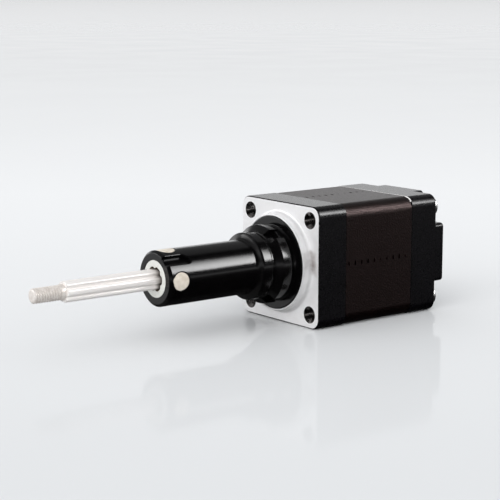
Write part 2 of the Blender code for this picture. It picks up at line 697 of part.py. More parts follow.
def add_bayonet_flange(look):
    """A disc seated in the pilot boss, with a slotted collar for the sleeve's foot."""
    bore = SPIGOT + 0.07
    rim = BOSS_BORE - 0.04
    outline = [(5.55, FLANGE_FRONT), (COLLAR_RING, 4.26), (COLLAR_RING, 2.55), (6.33, 2.4),
               (6.15, 2.35), (6.05, 1.9), (6.25, 1.57), (rim - 0.1, 1.57), (rim, 1.47),
               (rim, BOSS_FLOOR + 0.07), (4.0, BOSS_FLOOR + 0.07), (4.0, FLANGE_REAR),
               (FLANGE_BORE, FLANGE_REAR), (FLANGE_BORE, FLANGE_FLOOR), (bore, FLANGE_FLOOR),
               (bore, FLANGE_FRONT)]
    flange = turned("bayonet_flange", outline, FINE, MOTOR, look)
    for index, angle in enumerate(SLOT_ANGLES):
        slot = box(f"slot_tool_{index + 1}", (4.5, -1.05, 1.95), (8, 1.05, 6))
        slot.rotation_euler = (0, 0, math.radians(angle))
        cut(flange, slot)


def add_captive_sleeve(look):
    foot = [(5.15, 7.62), *arc((5.19, 7.25), 0.3, 75, 0, 3), (5.49, 5.75), (5.4, 5.6),
            (5.25, 5.55), (5.25, 5.1), (SPIGOT, 5.02), (SPIGOT, FLANGE_FLOOR + 0.1),
            (TUBE_BORE, FLANGE_FLOOR + 0.1)]
    bush_seat = BUSH_RADIUS + SEAT_GAP
    outline = [(MOUTH_RADIUS, SLEEVE_FRONT_Z), (TUBE_RADIUS, SLEEVE_FRONT_Z - MOUTH_CHAMFER),
               (TUBE_RADIUS, 8.3), (4.5, 8.02), (4.74, 7.8), *foot,
               (TUBE_BORE, BUSH_REAR_Z - 0.05), (bush_seat, BUSH_REAR_Z - 0.05),
               (bush_seat, SLEEVE_FRONT_Z)]
    sleeve = turned("captive_sleeve", outline, FINE, MOTOR, look)
    for index, angle in enumerate(SLOT_ANGLES):
        key = box(f"key_tool_{index + 1}", (4.6, -0.98, 2.05), (6.1, 0.98, 3.1))
        key.rotation_euler = (0, 0, math.radians(angle))
        join(sleeve, key)
    for index in range(PEGS):
        cut(sleeve, peg(f"peg_hole_tool_{index + 1}", index, PEG_RADIUS + SEAT_GAP, 3))
    # The assembly groove in the tube: it comes in from the front and hooks round.
    groove = [(-0.9, 26), (-0.95, 21.5), *arc((-0.35, 20.9), 0.62, 190, 300, 5),
              *arc((0.25, 21.6), 0.62, 320, 360, 2), (0.88, 26)]
    hook = plate("groove_tool", [groove], GROOVE_FLOOR, 6)
    # Across the outline lies round the tube, along it lies the motor's axis.
    lay = Matrix.Rotation(TURN / 4, 4, "Y") @ Matrix.Rotation(TURN / 4, 4, "Z")
    hook.matrix_local = Matrix.Rotation(GROOVE_ANGLE, 4, "Z") @ lay
    cut(sleeve, hook)


def peg(name, index, radius, outer):
    """A peg or its hole, across the sleeve's wall; outer is where it ends."""
    start, end = 2.0, TUBE_RADIUS + outer
    place = (Matrix.Rotation(TURN * index / PEGS, 4, "Z")
             @ Matrix.Translation(((start + end) / 2, 0, PEG_Z)) @ Matrix.Rotation(TURN / 4, 4, "Y"))
    return rod(name, radius, end - start, place, 20)


def add_spline_bush(look):
    """The white bush, moulded into the sleeve and keyed by four round pegs."""
    front = SLEEVE_FRONT_Z - 0.05
    bush = turned("spline_bush", [(0, front), (BUSH_RADIUS, front), (BUSH_RADIUS, BUSH_REAR_Z),
                                  (0, BUSH_REAR_Z)], FINE, MOTOR, look)
    for index in range(PEGS):
        join(bush, peg(f"peg_tool_{index + 1}", index, PEG_RADIUS, 0.0))
    bore = spline_outline(SPLINE_RADIUS + RUN_GAP, SPLINE_ROOT + BUSH_GROOVE_GAP)
    cut(bush, plate("spline_bore_tool", [bore], BUSH_REAR_Z - 1, SLEEVE_FRONT_Z + 1))


def main():
    black = material("black_anodised_aluminium", (0.012, 0.013, 0.016), 0.35, 0.6)
    stack = material("black_coated_laminations", (0.016, 0.013, 0.012), 0.6, 0.3)
    plastic = material("black_gloss_plastic", (0.01, 0.01, 0.011), 0.15, 0.0)
    steel = material("bright_steel", (0.72, 0.69, 0.67), 0.22, 1.0)
    bearing = material("bearing_steel", (0.55, 0.56, 0.58), 0.2, 1.0)
    white = material("white_acetal", (0.82, 0.81, 0.76), 0.45, 0.0)
    copper = material("enamelled_copper", (0.55, 0.2, 0.07), 0.35, 0.8)
    iron = material("rotor_laminations", (0.3, 0.3, 0.31), 0.45, 0.9)
    magnet = material("sintered_magnet", (0.2, 0.2, 0.21), 0.4, 0.7)
    brass = material("turned_brass", (0.75, 0.55, 0.22), 0.3, 1.0)
    insulation = material("tan_insulation", (0.5, 0.38, 0.2), 0.6, 0.0)
    board = material("green_board", (0.02, 0.18, 0.08), 0.45, 0.0)
    rubber = material("black_rubber", (0.02, 0.02, 0.02), 0.75, 0.0)

    add_front_end_bell(black)
    add_stator_stack(stack)
    add_rear_end_bell(black)
    add_case_screws(steel)
    add_coils(copper, insulation, board)
    add_outlet_and_plug(rubber, plastic)
    add_bearing("front_bearing", FRONT_BEARING_Z, bearing, axis_frame("front_cage_axis"))
    add_bearing("rear_bearing", REAR_BEARING_Z, bearing, axis_frame("rear_cage_axis"))
    add_wave_spring(bearing)
    add_rotor(steel, iron, magnet, white)
    add_lead_screw(steel)
    add_spline_shaft(steel)
    add_stop_collar(brass, steel)
    add_bayonet_flange(plastic)
    add_captive_sleeve(plastic)
    add_spline_bush(white)


main()
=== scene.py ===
"""Looks of a small captive linear stepper motor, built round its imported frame.

Shapes are made in millimetres in the axis frame: x to the motor's right side, y up and z forward
along the shaft, from the mounting face. TO_WORLD puts them in the row frame.
"""

import json
import math

import bmesh
import bpy
import numpy as np
from mathutils import Matrix, Vector


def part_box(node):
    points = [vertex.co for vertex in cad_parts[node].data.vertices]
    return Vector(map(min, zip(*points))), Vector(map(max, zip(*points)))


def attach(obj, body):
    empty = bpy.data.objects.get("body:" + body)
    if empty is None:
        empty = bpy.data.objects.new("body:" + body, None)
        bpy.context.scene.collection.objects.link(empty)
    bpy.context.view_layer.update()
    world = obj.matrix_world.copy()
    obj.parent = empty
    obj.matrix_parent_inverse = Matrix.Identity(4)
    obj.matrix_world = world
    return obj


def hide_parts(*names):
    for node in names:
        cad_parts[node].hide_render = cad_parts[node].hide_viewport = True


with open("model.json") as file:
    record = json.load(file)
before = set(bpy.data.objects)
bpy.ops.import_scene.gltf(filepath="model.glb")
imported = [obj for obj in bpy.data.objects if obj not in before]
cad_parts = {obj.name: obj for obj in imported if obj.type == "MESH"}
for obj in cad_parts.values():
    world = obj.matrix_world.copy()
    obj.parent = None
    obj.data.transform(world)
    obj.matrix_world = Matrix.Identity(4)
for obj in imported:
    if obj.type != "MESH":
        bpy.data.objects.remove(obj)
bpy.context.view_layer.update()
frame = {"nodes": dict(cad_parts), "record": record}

TURN = 2 * math.pi
MM = 0.001

# ---------------------------------------------------------------- places read from the frame

FACE_Y = next(m for m in frame["record"]["mounts"] if m["name"] == "mounting_face")["pos_m"][1]
AXIS_Z = sum(corner.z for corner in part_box("stator_stack")) / 2
TO_WORLD = (Matrix.Translation((0, FACE_Y, AXIS_Z)) @ Matrix.Rotation(TURN / 4, 4, "X")
            @ Matrix.Scale(MM, 4))


def span(node):
    """Rear and front end of a node along the axis."""
    low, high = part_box(node)
    return (FACE_Y - high.y) / MM, (FACE_Y - low.y) / MM


def reach(node):
    """Half of a node's width across the axis."""
    low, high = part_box(node)
    return (high.x - low.x) / 2 / MM


HALF = reach("stator_stack")                    # half the motor's square side
FRONT_BELL_END, BOSS_TOP = span("front_end_bell")
STACK_REAR, STACK_FRONT = span("stator_stack")
BLOCK_END, REAR_BELL_START = span("rear_end_bell")
FLANGE_REAR, FLANGE_FRONT = span("bayonet_flange")
SLEEVE_REAR, SLEEVE_FRONT = span("captive_sleeve")
BUSH_REAR, BUSH_FRONT = span("spline_bush")
ROD_REAR, TIP_END = span("spline_shaft")
COLLAR_FRONT = span("stop_collar")[1]
PLUG_REAR, PLUG_FRONT = span("rear_plug")
SCREW_REAR, SCREW_FRONT = span("case_screw_1")
GROMMET_REAR, GROMMET_FRONT = span("lead_grommet")
PLUG_RADIUS = reach("rear_plug")
SHOULDER = (FACE_Y - next(m for m in frame["record"]["mounts"]
                          if m["name"] == "rod_shoulder")["pos_m"][1]) / MM

# ---------------------------------------------------------------- sizes of the details

HOLE_PLACE = 7.7            # mounting threads and case screws, from the axis both ways
BELL_CORNER = 1.74
STACK_CORNER = 2.2
FACE_CHAMFER = 0.2
BOSS_RADIUS = 8.0
BOSS_FOOT = 0.63            # fillet round the boss
BOSS_RECESS = 7.7           # where the flange's disc sits
BEARING_SEAT = 5.03
SEAT_COLLAR = 5.75          # clearance round the bearing seats, inside the coils
THREAD_CREST, THREAD_ROOT, THREAD_PITCH = 0.85, 1.02, 0.4
THREAD_RIM = 1.38           # countersink of the mounting threads
REAR_BELL_END = -26.02      # floor of the corner pockets
BLOCK_HALF = 5.0            # half width of each arm of the rear block
PLUG_SEAT = 3.5
COIL_ROOM = 8.2             # bore of both end bells round the coils
DIMPLES, DIMPLE_PITCH = 10, 1.394
DIMPLE_SHIFT, DIMPLE_FORWARD = (0.3, 0.7), 0.41
TUBE_RADIUS, TUBE_BORE = 4.43, 3.05
MOUTH_RADIUS, MOUTH_CHAMFER = 4.03, 0.37
BUSH_RADIUS = 2.94
GROOVE_FLOOR = 3.82
GROOVE_ANGLE = math.radians(48)
SLOT_ANGLES = (57.5, -62.5, 177.5)
PEG_RADIUS, PEG_Z, PEGS = 1.42, 22.77, 4
SPLINES, SPLINE_CREST, SPLINE_ROOT = 6, 1.646, 1.22
SLIDE_GAP, BUSH_GROOVE_GAP = 0.06, 0.2      # between rod and bush, on the crests and in the grooves
TIP_CREST, TIP_ROOT, TIP_NECK, TIP_PITCH = 1.18, 0.96, 1.2, 0.45

# ---------------------------------------------------------------- outlines


def arc(centre, radius, start, end, steps):
    angles = [math.radians(start + (end - start) * i / steps) for i in range(steps + 1)]
    return [(centre[0] + radius * math.cos(a), centre[1] + radius * math.sin(a)) for a in angles]


def rounded_square(half, corner, steps=10):
    places = [(1, 1), (-1, 1), (-1, -1), (1, -1)]
    points = []
    for quarter, (x, y) in enumerate(places):
        centre = (x * (half - corner), y * (half - corner))
        points += arc(centre, corner, 90 * quarter, 90 * quarter + 90, steps)
    return points


def soften(outline, size, steps=3, closed=True):
    """Rounds each corner of an outline, as far as its edges allow."""
    points = [Vector(p) for p in outline]
    made = []
    for i, corner in enumerate(points):
        if not closed and i in (0, len(points) - 1):
            made.append(tuple(corner))
            continue
        back, ahead = points[i - 1] - corner, points[(i + 1) % len(points)] - corner
        if back.angle(ahead) > math.radians(160):
            made.append(tuple(corner))
            continue
        cut = min(size, back.length * 0.45, ahead.length * 0.45)
        first, last = corner + back.normalized() * cut, corner + ahead.normalized() * cut
        for step in range(steps + 1):
            t = step / steps
            made.append(tuple(first * (1 - t) ** 2 + corner * 2 * t * (1 - t) + last * t ** 2))
    return made


def corner_places():
    return [(x * HOLE_PLACE, y * HOLE_PLACE) for x, y in ((1, 1), (-1, 1), (-1, -1), (1, -1))]


def spline_radius(angle, crest, root):
    """Six rounded splines with round-bottomed grooves between them."""
    wave = 0.5 - 0.5 * np.cos(SPLINES * angle)
    return crest - (crest - root) * wave ** 3


def inside_distance(outline, x, y):
    """Signed distance of points to a closed outline, below zero inside."""
    best = np.full(x.shape, 1e9)
    inside = np.zeros(x.shape, bool)
    for (ax, ay), (bx, by) in zip(outline, outline[1:] + outline[:1]):
        dx, dy = bx - ax, by - ay
        t = np.clip(((x - ax) * dx + (y - ay) * dy) / (dx * dx + dy * dy), 0, 1)
        best = np.minimum(best, np.hypot(x - ax - t * dx, y - ay - t * dy))
        crosses = (ay > y) != (by > y)
        at = ax + dx * (y - ay) / (dy if dy else 1e-9)
        inside ^= crosses & (x < at)
    return np.where(inside, -best, best)


# ---------------------------------------------------------------- meshes

def new_object(name, mesh):
    obj = bpy.data.objects.new(name, mesh)
    bpy.context.scene.collection.objects.link(obj)
    return obj


def mesh_object(name, points, faces):
    mesh = bpy.data.meshes.new(name)
    mesh.from_pydata([tuple(p) for p in points], [], faces)
    work = bmesh.new()
    work.from_mesh(mesh)
    bmesh.ops.remove_doubles(work, verts=work.verts, dist=1e-5)
    bmesh.ops.dissolve_degenerate(work, edges=work.edges, dist=1e-6)
    bmesh.ops.recalc_face_normals(work, faces=work.faces)
    work.to_mesh(mesh)
    work.free()
    return new_object(name, mesh)


def loop_faces(rows, columns, closed):
    """Quads between rows of points, each row a closed loop."""
    faces = []
    for i in range(rows if closed else rows - 1):
        here, there = i * columns, (i + 1) % rows * columns
        for k in range(columns):
            n = (k + 1) % columns
            faces.append((here + k, here + n, there + n, there + k))
    return faces


def revolve(name, outline, columns, closed=True, shape=None):
    """A surface turned round the axis from (radius, z) points; shape may bend it."""
    radius, z = np.array(outline, float).T
    angle = np.tile(np.arange(columns) * TURN / columns, (len(radius), 1))
    radius, z = (np.tile(v[:, None], (1, columns)) for v in (radius, z))
    if shape:
        angle, radius, z = shape(angle, radius, z)
    points = np.stack([radius * np.cos(angle), radius * np.sin(angle), z], -1).reshape(-1, 3)
    return mesh_object(name, points, loop_faces(len(outline), columns, closed))


def prism(name, levels, half, corner):
    """A rounded square prism; levels are (inset, z) from one end to the other."""
    rings = [[(x, y, z) for x, y in rounded_square(half - inset, corner - inset)]
             for inset, z in levels]
    count = len(rings[0])
    faces = loop_faces(len(rings), count, False)
    faces += [tuple(range(count)), tuple(range((len(rings) - 1) * count, len(rings) * count))]
    return mesh_object(name, [p for ring in rings for p in ring], faces)


def extruded(name, outline, low, high):
    """A closed outline drawn out along the axis."""
    count = len(outline)
    points = [(x, y, low) for x, y in outline] + [(x, y, high) for x, y in outline]
    faces = loop_faces(2, count, False) + [tuple(range(count)), tuple(range(count, 2 * count))]
    return mesh_object(name, points, faces)


def box(name, low, high):
    outline = [(low[0], low[1]), (high[0], low[1]), (high[0], high[1]), (low[0], high[1])]
    return extruded(name, outline, low[2], high[2])


def moved(obj, matrix):
    obj.data.transform(matrix)
    return obj


def baked(obj):
    """Turns the object's modifiers into mesh."""
    graph = bpy.context.evaluated_depsgraph_get()
    mesh = bpy.data.meshes.new_from_object(obj.evaluated_get(graph))
    obj.modifiers.clear()
    obj.data = mesh
    return obj


def combine(obj, tool, operation="DIFFERENCE"):
    """Cuts, joins or intersects a tool, which is used up."""
    modifier = obj.modifiers.new("combine", "BOOLEAN")
    modifier.operation, modifier.object, modifier.solver = operation, tool, "EXACT"
    baked(obj)
    bpy.data.objects.remove(tool)
    return obj


def round_edges(obj, width, angle=35, segments=2):
    modifier = obj.modifiers.new("round", "BEVEL")
    modifier.width, modifier.segments = width, segments
    modifier.limit_method, modifier.angle_limit = "ANGLE", math.radians(angle)
    modifier.use_clamp_overlap = False
    return baked(obj)


def add_mesh(obj, other):
    """Puts another object's mesh into this one, without joining the surfaces."""
    work = bmesh.new()
    work.from_mesh(obj.data)
    work.from_mesh(other.data)
    work.to_mesh(obj.data)
    work.free()
    bpy.data.objects.remove(other)
    return obj


def threaded(crest, root, pitch, low, high):
    """A right-hand V thread on the part of a turned surface between two stations."""
    def shape(angle, radius, z):
        phase = (z / pitch - angle / TURN) % 1
        height = root + (crest - root) * np.abs(2 * phase - 1)
        fade = np.clip(np.minimum(z - low, high - z) / (0.5 * pitch), 0, 1)
        on = (z > low) & (z < high)
        return angle, np.where(on, radius + (height - radius) * fade, radius), z
    return shape


def steps_between(start, end, size):
    count = max(1, round(abs(end - start) / size))
    return [start + (end - start) * i / count for i in range(count + 1)]


def finish_piece(obj, body, nodes, looks, choose=None, crease=32):
    """Shades a piece, paints it and makes it ride in place of its CAD nodes."""
    work = bmesh.new()
    work.from_mesh(obj.data)
    for face in work.faces:
        face.smooth = True
        face.material_index = choose(face.calc_center_median(), face.normal) if choose else 0
    for edge in work.edges:
        edge.smooth = edge.calc_face_angle(0) < math.radians(crease)
    obj.data.materials.clear()
    for look in looks:
        obj.data.materials.append(look.material)
    work.to_mesh(obj.data)
    work.free()
    weighted = obj.modifiers.new("weighted", "WEIGHTED_NORMAL")
    weighted.keep_sharp = True
    baked(obj)
    obj.data.transform(TO_WORLD)
    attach(obj, body)
    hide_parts(*nodes)
    return obj


# ---------------------------------------------------------------- materials

class Look:
    """A node material round one Principled shader, placed in the axis frame's millimetres."""

    def __init__(self, name, **values):
        self.material = bpy.data.materials.new(name)
        self.material.use_nodes = True
        self.tree = self.material.node_tree
        self.shader = self.tree.nodes["Principled BSDF"]
        for socket, value in values.items():
            self.shader.inputs[socket.replace("_", " ")].default_value = value
        place = self.node("ShaderNodeMapping")
        place.inputs["Location"].default_value = (0, -AXIS_Z / MM, FACE_Y / MM)
        place.inputs["Rotation"].default_value = (-TURN / 4, 0, 0)
        place.inputs["Scale"].default_value = (1 / MM,) * 3
        self.link(self.node("ShaderNodeTexCoord").outputs["Object"], place.inputs["Vector"])
        self.place = place.outputs["Vector"]
        self.normal = None

    def node(self, kind, **settings):
        made = self.tree.nodes.new(kind)
        for key, value in settings.items():
            setattr(made, key, value)
        return made

    def link(self, source, target):
        self.tree.links.new(source, target)

    def maths(self, operation, *inputs):
        made = self.node("ShaderNodeMath", operation=operation)
        for socket, value in zip(made.inputs, inputs):
            if isinstance(value, (int, float)):
                socket.default_value = value
            else:
                self.link(value, socket)
        return made.outputs[0]

    def stretched(self, stretch):
        mapping = self.node("ShaderNodeMapping")
        mapping.inputs["Scale"].default_value = stretch
        self.link(self.place, mapping.inputs["Vector"])
        return mapping.outputs["Vector"]

    def noise(self, scale, detail=3.0, roughness=0.5, stretch=(1, 1, 1)):
        made = self.node("ShaderNodeTexNoise")
        made.inputs["Scale"].default_value = scale
        made.inputs["Detail"].default_value = detail
        made.inputs["Roughness"].default_value = roughness
        self.link(self.stretched(stretch), made.inputs["Vector"])
        return made.outputs[0]

    def parts(self):
        made = self.node("ShaderNodeSeparateXYZ")
        self.link(self.place, made.inputs[0])
        return made.outputs

    def radius(self):
        """Distance from the motor's axis."""
        x, y, _ = self.parts()
        return self.maths("SQRT", self.maths("ADD", self.maths("MULTIPLY", x, x),
                                             self.maths("MULTIPLY", y, y)))

    def along(self):
        return self.parts()[2]

    def turned_away(self, angle):
        """Cosine of the angle round the axis between each place and this direction."""
        x, y, _ = self.parts()
        reach_out = self.maths("ADD", self.maths("MULTIPLY", x, math.cos(angle)),
                               self.maths("MULTIPLY", y, math.sin(angle)))
        return self.maths("DIVIDE", reach_out, self.radius())

    def ramp(self, factor, *stops):
        made = self.node("ShaderNodeValToRGB")
        elements = made.color_ramp.elements
        while len(elements) < len(stops):
            elements.new(1.0)
        for element, (position, colour) in zip(elements, stops):
            element.position, element.color = position, (*colour, 1.0)
        self.link(factor, made.inputs[0])
        return made.outputs[0]

    def spread(self, factor, low, high, start=0.0, end=1.0):
        """A factor from start to end spread over another range."""
        made = self.node("ShaderNodeMapRange")
        for socket, value in zip(made.inputs[1:5], (start, end, low, high)):
            socket.default_value = value
        self.link(factor, made.inputs["Value"])
        return made.outputs[0]

    def colour(self, source):
        self.link(source, self.shader.inputs["Base Color"])

    def roughness(self, source):
        self.link(source, self.shader.inputs["Roughness"])

    def bump(self, height, distance, strength=1.0):
        """Adds relief of this height in millimetres."""
        made = self.node("ShaderNodeBump")
        made.inputs["Strength"].default_value = strength
        made.inputs["Distance"].default_value = distance * MM
        self.link(height, made.inputs["Height"])
        if self.normal:
            self.link(self.normal, made.inputs["Normal"])
        self.normal = made.outputs[0]
        self.link(self.normal, self.shader.inputs["Normal"])
        return self


def mottled(name, dark, light, scale, rough, relief=0.0, relief_scale=None, detail=4.0,
            stretch=(1, 1, 1), **values):
    """A finish whose tone, gloss and relief vary with noise."""
    look = Look(name, **values)
    tone = look.noise(scale, detail, 0.6, stretch)
    look.colour(look.ramp(tone, (0.3, dark), (0.7, light)))
    look.roughness(look.spread(look.noise(scale * 1.7, detail, 0.5, stretch), *rough))
    if relief:
        look.bump(look.noise(relief_scale or scale, detail, 0.6, stretch), relief)
    return look


def coat_look():
    """Smooth black coat of the end bells."""
    look = Look("black_coat", IOR=1.5)
    cloud = look.noise(0.35, 3)
    look.colour(look.ramp(cloud, (0.3, (0.0014, 0.0011, 0.0018)), (0.7, (0.0026, 0.0021, 0.0032))))
    look.roughness(look.spread(look.noise(1.2, 4), 0.23, 0.32))
    look.bump(look.noise(6, 3, 0.5), 0.0018)
    return look.bump(look.noise(30, 2, 0.5), 0.0005)


def lamination_look():
    """Brownish black coat over the stack, with the edges of its sheets just showing."""
    look = Look("coated_laminations", IOR=1.5, Specular_Tint=(1.0, 0.72, 0.70, 1.0))
    grain = look.noise(3.4, 3, 0.6)
    look.colour(look.ramp(grain, (0.42, (0.0003, 0.0001, 0.0001)), (0.62, (0.0058, 0.0020, 0.0018))))
    look.roughness(look.spread(look.noise(3, 3, 0.6), 0.28, 0.44))
    sheets = look.maths("SINE", look.maths("MULTIPLY", look.along(), TURN / 0.35))
    look.bump(sheets, 0.0015)
    look.bump(look.noise(3.4, 2, 0.5, (1, 1, 1.3)), 0.055)
    return look.bump(look.noise(9, 3, 0.6), 0.012)


def face_look():
    """Turned face, with a painted reflection: a dark streak in its colour on its right side."""
    look = Look("machined_face", Metallic=0.5, IOR=1.5)
    # painted reflection: a dark streak painted into the face's colour on its right side, fading out over
    # the boss and towards the edge
    painted_dark_streak = look.spread(look.turned_away(math.radians(6)), 0.0, 1.1, 0.955, 0.999)
    painted_dark_streak = look.maths("MULTIPLY", painted_dark_streak, look.spread(look.radius(), 0.25, 1.0, 7.95, 8.4))
    painted_dark_streak = look.maths("MULTIPLY", painted_dark_streak, look.spread(look.radius(), 1.0, 0.0, 8.6, 9.9))
    painted_dark_streak = look.maths("MULTIPLY", painted_dark_streak, look.spread(look.noise(0.9, 3), 0.45, 0.95))
    tone = look.maths("SUBTRACT", look.spread(look.noise(0.5, 3), 0.7, 1.0, 0.3, 0.7), painted_dark_streak)
    look.colour(look.ramp(tone, (0.0, (0.30, 0.26, 0.25)), (0.7, (0.90, 0.89, 0.89)),
                          (1.0, (0.96, 0.955, 0.96))))
    look.roughness(look.spread(look.noise(1.1, 4), 0.36, 0.46))
    rings = look.node("ShaderNodeTexNoise", noise_dimensions="1D")
    rings.inputs["Scale"].default_value = 9.0
    rings.inputs["Detail"].default_value = 3.0
    look.link(look.radius(), rings.inputs["W"])
    return look.bump(rings.outputs[0], 0.003)


def rim_highlight_look():
    """Painted highlight for the edge of a coated casting: near-white patches broken up by the dark coat."""
    look = Look("painted_rim_highlight", IOR=1.5, Metallic=0.2)
    look.colour(look.ramp(look.noise(2.6, 3), (0.34, (0.02, 0.018, 0.018)), (0.46, (0.93, 0.91, 0.89))))
    look.roughness(look.spread(look.noise(4, 3), 0.3, 0.45))
    return look.bump(look.noise(12, 3), 0.004)


def gloss_look(name):
    """Glossy black moulding with a slightly wavy skin."""
    look = Look(name, IOR=1.5)
    cloud = look.noise(0.6, 3)
    look.colour(look.ramp(cloud, (0.3, (0.0012, 0.0010, 0.0012)), (0.7, (0.0022, 0.0020, 0.0022))))
    look.roughness(look.spread(look.noise(1.5, 4), 0.14, 0.20))
    look.bump(look.noise(1.1, 3), 0.006)
    return look.bump(look.noise(14, 4, 0.6), 0.0012)


def steel_rod_look():
    """Bright steel drawn along its length, with painted shade darkening it near the bush."""
    look = Look("drawn_steel", Metallic=0.25, IOR=1.5)
    streaks = look.noise(1.6, 4, 0.6, (1, 1, 0.04))
    # painted shade: the colour goes dark brown where the rod runs into the bush
    painted_shade_falloff = look.maths("DIVIDE", look.maths("SUBTRACT", look.along(), BUSH_FRONT - 0.4), 2.4)
    tone = look.maths("MULTIPLY", look.maths("ADD", streaks, 0.15), look.maths("MINIMUM", painted_shade_falloff, 1.0))
    look.colour(look.ramp(tone, (0.0, (0.07, 0.05, 0.035)), (0.36, (0.86, 0.81, 0.78)),
                          (0.85, (0.95, 0.92, 0.89))))
    look.roughness(look.spread(look.noise(2.5, 4, 0.6, (1, 1, 0.05)), 0.34, 0.46))
    look.bump(look.noise(9, 4, 0.6, (1, 1, 0.03)), 0.0030)
    return look


def acetal_look(name, dark, light):
    """Satin moulding that lets a little light in."""
    look = Look(name, Subsurface_Weight=0.04, Subsurface_Scale=0.4 * MM, IOR=1.45)
    look.shader.inputs["Subsurface Radius"].default_value = (1.0, 0.9, 0.7)
    look.colour(look.ramp(look.noise(1.3, 4), (0.3, dark), (0.7, light)))
    look.roughness(look.spread(look.noise(3, 4), 0.38, 0.55))
    look.bump(look.noise(2.2, 4), 0.010)
    return look.bump(look.noise(12, 3), 0.002)


coat = coat_look()
laminations = lamination_look()
machined = face_look()
painted_rim_highlight = rim_highlight_look()
sleeve_plastic = gloss_look("gloss_sleeve")
flange_plastic = gloss_look("gloss_flange")
rod_steel = steel_rod_look()
tip_steel = mottled("rolled_tip", (0.68, 0.62, 0.57), (0.86, 0.81, 0.77), 1.6, (0.30, 0.42), 0.004, 8,
                    Metallic=0.3)
bush_white = acetal_look("white_bush", (0.68, 0.68, 0.64), (0.74, 0.74, 0.70))
# painted shade: dark brown colour for the bush's bore and sunk mouth
bore_painted_shade = mottled("bore_painted_shade", (0.05, 0.033, 0.02), (0.13, 0.09, 0.055), 2.0, (0.2, 0.35), 0.01, 4)
peg_cream = acetal_look("cream_peg", (0.60, 0.53, 0.43), (0.76, 0.70, 0.61))
cut_thread = mottled("cut_thread", (0.16, 0.145, 0.14), (0.72, 0.68, 0.66), 2.2, (0.12, 0.22), 0.004, 8,
                     Metallic=1.0)
zinc = mottled("zinc_plate", (0.70, 0.70, 0.69), (0.86, 0.86, 0.86), 1.4, (0.22, 0.38), 0.003, 9,
               Metallic=1.0)
rubber = mottled("soft_rubber", (0.012, 0.012, 0.012), (0.022, 0.021, 0.021), 2.0, (0.6, 0.8), 0.008, 7)
plug_plastic = mottled("moulded_plug", (0.008, 0.008, 0.009), (0.014, 0.014, 0.015), 1.5,
                       (0.35, 0.5), 0.005, 10, IOR=1.3)
ground_steel = mottled("ground_steel", (0.50, 0.51, 0.53), (0.64, 0.65, 0.67), 3.0, (0.14, 0.26),
                       0.0015, 12, Metallic=1.0)
spring_strip = mottled("spring_strip", (0.42, 0.42, 0.43), (0.56, 0.56, 0.57), 2.5, (0.22, 0.36),
                       0.002, 10, Metallic=1.0)
turned_steel = mottled("turned_steel", (0.58, 0.57, 0.56), (0.74, 0.73, 0.71), 2.0, (0.18, 0.32),
                       0.003, 10, stretch=(1, 1, 6), Metallic=1.0)
rotor_iron = mottled("rotor_iron", (0.22, 0.22, 0.23), (0.36, 0.36, 0.37), 3.0, (0.35, 0.55),
                     0.006, 3, stretch=(1, 1, 3), Metallic=1.0)
magnet_skin = mottled("magnet_skin", (0.20, 0.20, 0.21), (0.30, 0.30, 0.31), 2.5, (0.3, 0.5),
                      0.004, 9, Metallic=0.8)
enamelled_wire = mottled("enamelled_wire", (0.38, 0.12, 0.035), (0.60, 0.24, 0.08), 2.5, (0.25, 0.4),
                         0.030, 4, stretch=(1, 1, 0.4), Metallic=0.7)
turned_brass = mottled("turned_brass", (0.66, 0.46, 0.17), (0.82, 0.62, 0.28), 2.0, (0.2, 0.34),
                       0.003, 10, stretch=(1, 1, 6), Metallic=1.0)
tan_frame = mottled("tan_frame", (0.42, 0.31, 0.15), (0.54, 0.41, 0.22), 1.6, (0.5, 0.65), 0.006, 8)
board_green = mottled("board_green", (0.012, 0.13, 0.055), (0.028, 0.21, 0.10), 2.2, (0.35, 0.5),
                      0.008, 7)
nut_white = mottled("nut_white", (0.74, 0.72, 0.66), (0.84, 0.82, 0.77), 2.0, (0.4, 0.55), 0.005, 9)

# ---------------------------------------------------------------- housing


